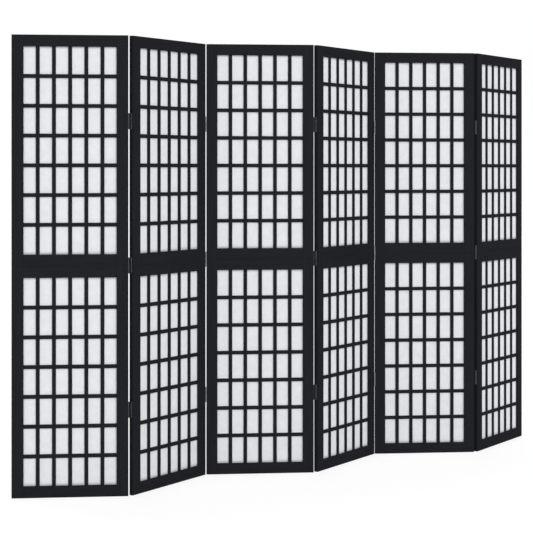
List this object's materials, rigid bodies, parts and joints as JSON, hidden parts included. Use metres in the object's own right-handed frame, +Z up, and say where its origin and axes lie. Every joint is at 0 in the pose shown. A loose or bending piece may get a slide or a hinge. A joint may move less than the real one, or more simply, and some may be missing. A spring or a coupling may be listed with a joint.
{
  "type": "folding screen",
  "caption": "Folding screen of hinged lattice panels with dark wood frames and white paper, standing in a zigzag to divide a room.",
  "frame": {"origin": "floor level, under the middle of the screen", "axes": "+X along the screen to the viewer's right, +Y from the front of the screen to its back, +Z up"},
  "size_m": [2.5312, 0.2014, 1.8],
  "materials": {
    "frame_wood": "black stain under a thin satin lacquer",
    "lattice_wood": "black stain under a thin satin lacquer",
    "dowel_wood": "bare turned beech",
    "paper": "white fibre paper, matt and faintly translucent",
    "hinge_steel": "zinc-plated steel, dull grey",
    "screw_steel": "zinc-plated steel, dull grey"
  },
  "bodies": {
    "panel_1": {"panel_1_left_stiles": "frame_wood", "panel_1_right_stiles": "frame_wood", "panel_1_end_rails": "frame_wood", "panel_1_middle_rails": "frame_wood", "panel_1_dowels": "dowel_wood", "panel_1_lattice_bars": "lattice_wood", "panel_1_paper": "paper", "panel_1_hinge_leaves": "hinge_steel", "panel_1_hinge_screws": "screw_steel"},
    "panel_2": {"panel_2_left_stiles": "frame_wood", "panel_2_right_stiles": "frame_wood", "panel_2_end_rails": "frame_wood", "panel_2_middle_rails": "frame_wood", "panel_2_dowels": "dowel_wood", "panel_2_lattice_bars": "lattice_wood", "panel_2_paper": "paper", "panel_2_hinge_leaves": "hinge_steel", "panel_2_hinge_screws": "screw_steel", "hinge_pins_1_2": "hinge_steel"},
    "panel_3": {"panel_3_left_stiles": "frame_wood", "panel_3_right_stiles": "frame_wood", "panel_3_end_rails": "frame_wood", "panel_3_middle_rails": "frame_wood", "panel_3_dowels": "dowel_wood", "panel_3_lattice_bars": "lattice_wood", "panel_3_paper": "paper", "panel_3_hinge_leaves": "hinge_steel", "panel_3_hinge_screws": "screw_steel", "hinge_pins_2_3": "hinge_steel", "hinge_pins_3_4": "hinge_steel"},
    "panel_4": {"panel_4_left_stiles": "frame_wood", "panel_4_right_stiles": "frame_wood", "panel_4_end_rails": "frame_wood", "panel_4_middle_rails": "frame_wood", "panel_4_dowels": "dowel_wood", "panel_4_lattice_bars": "lattice_wood", "panel_4_paper": "paper", "panel_4_hinge_leaves": "hinge_steel", "panel_4_hinge_screws": "screw_steel", "hinge_pins_4_5": "hinge_steel"},
    "panel_5": {"panel_5_left_stiles": "frame_wood", "panel_5_right_stiles": "frame_wood", "panel_5_end_rails": "frame_wood", "panel_5_middle_rails": "frame_wood", "panel_5_dowels": "dowel_wood", "panel_5_lattice_bars": "lattice_wood", "panel_5_paper": "paper", "panel_5_hinge_leaves": "hinge_steel", "panel_5_hinge_screws": "screw_steel", "hinge_pins_5_6": "hinge_steel"},
    "panel_6": {"panel_6_left_stiles": "frame_wood", "panel_6_right_stiles": "frame_wood", "panel_6_end_rails": "frame_wood", "panel_6_middle_rails": "frame_wood", "panel_6_dowels": "dowel_wood", "panel_6_lattice_bars": "lattice_wood", "panel_6_paper": "paper", "panel_6_hinge_leaves": "hinge_steel", "panel_6_hinge_screws": "screw_steel"}
  },
  "joints": [
    {"name": "fold_1_2", "type": "hinge", "parent": "panel_2", "child": "panel_1", "pos_m": [-0.84533, -0.08527, 0.9], "axis": [0, 0, -1], "range_deg": [-57.6, 131.4]},
    {"name": "fold_2_3", "type": "hinge", "parent": "panel_3", "child": "panel_2", "pos_m": [-0.42267, 0.08527, 0.9], "axis": [0, 0, 1], "range_deg": [-57.6, 131.4]},
    {"name": "fold_3_4", "type": "hinge", "parent": "panel_3", "child": "panel_4", "pos_m": [0, -0.08527, 0.9], "axis": [0, 0, 1], "range_deg": [-57.6, 131.4]},
    {"name": "fold_4_5", "type": "hinge", "parent": "panel_4", "child": "panel_5", "pos_m": [0.42267, 0.08527, 0.9], "axis": [0, 0, -1], "range_deg": [-57.6, 131.4]},
    {"name": "fold_5_6", "type": "hinge", "parent": "panel_5", "child": "panel_6", "pos_m": [0.84533, -0.08527, 0.9], "axis": [0, 0, 1], "range_deg": [-57.6, 131.4]}
  ]
}
